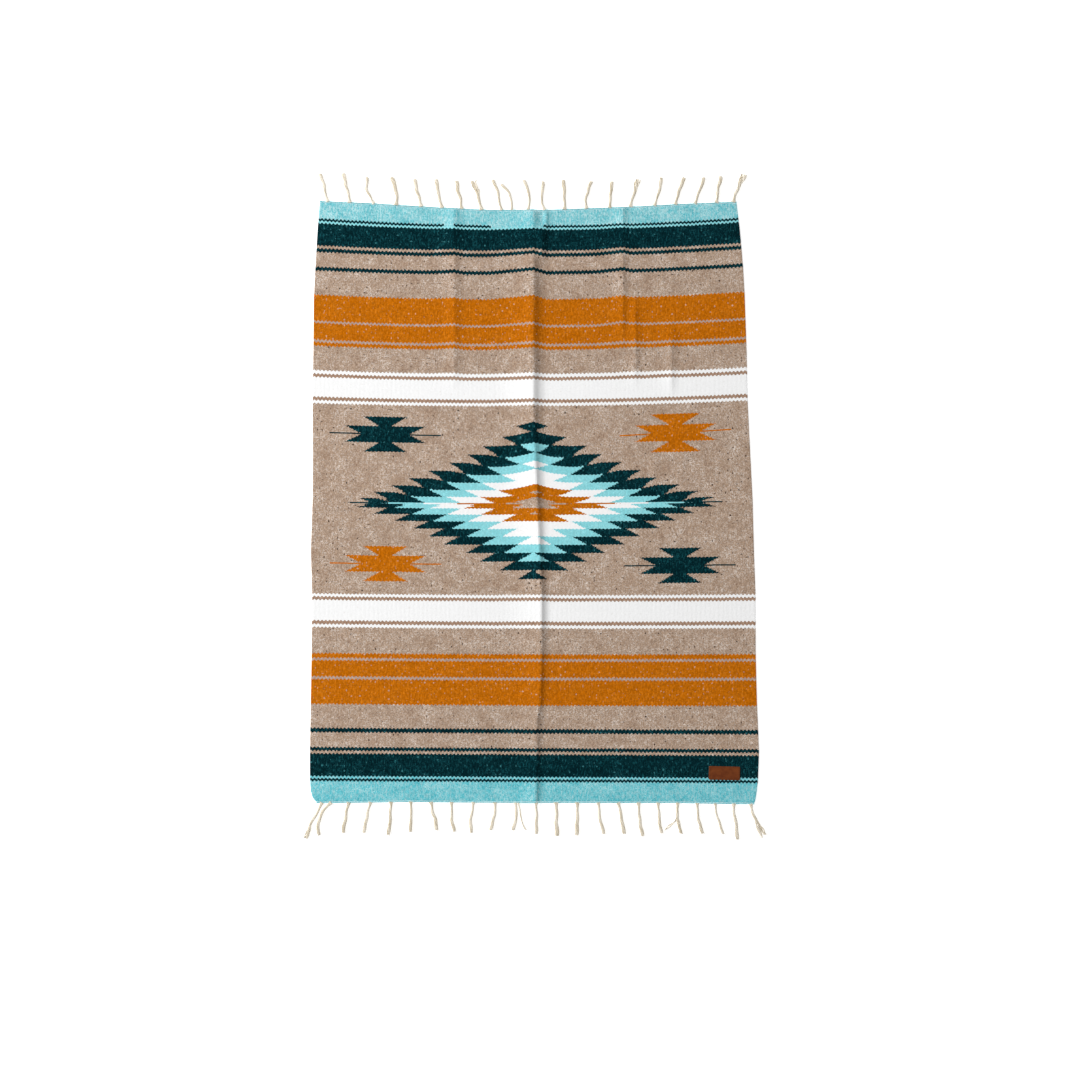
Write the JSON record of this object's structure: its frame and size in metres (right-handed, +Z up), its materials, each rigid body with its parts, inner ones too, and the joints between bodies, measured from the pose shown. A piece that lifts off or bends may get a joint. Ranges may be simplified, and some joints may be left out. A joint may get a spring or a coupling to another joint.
{
  "type": "mexican serape",
  "caption": "Rectangular weft-faced wool serape laid out flat, with soft storage creases, a knotted fringe along each end and a small bare leather patch.",
  "frame": {"origin": "centre of the whole part's box, on the floor that it lies on", "axes": "+Y along the cloth towards its far end, away from the patch; +Z up, out of its face"},
  "size_m": [1.0713, 1.5483, 0.0124],
  "materials": {
    "wool": "matt",
    "warp": "matt",
    "leather": "satin"
  },
  "bodies": {
    "root": {"woven_cloth": "wool", "fringe_far": "warp", "fringe_near": "warp", "leather_patch": "leather"}
  },
  "joints": []
}
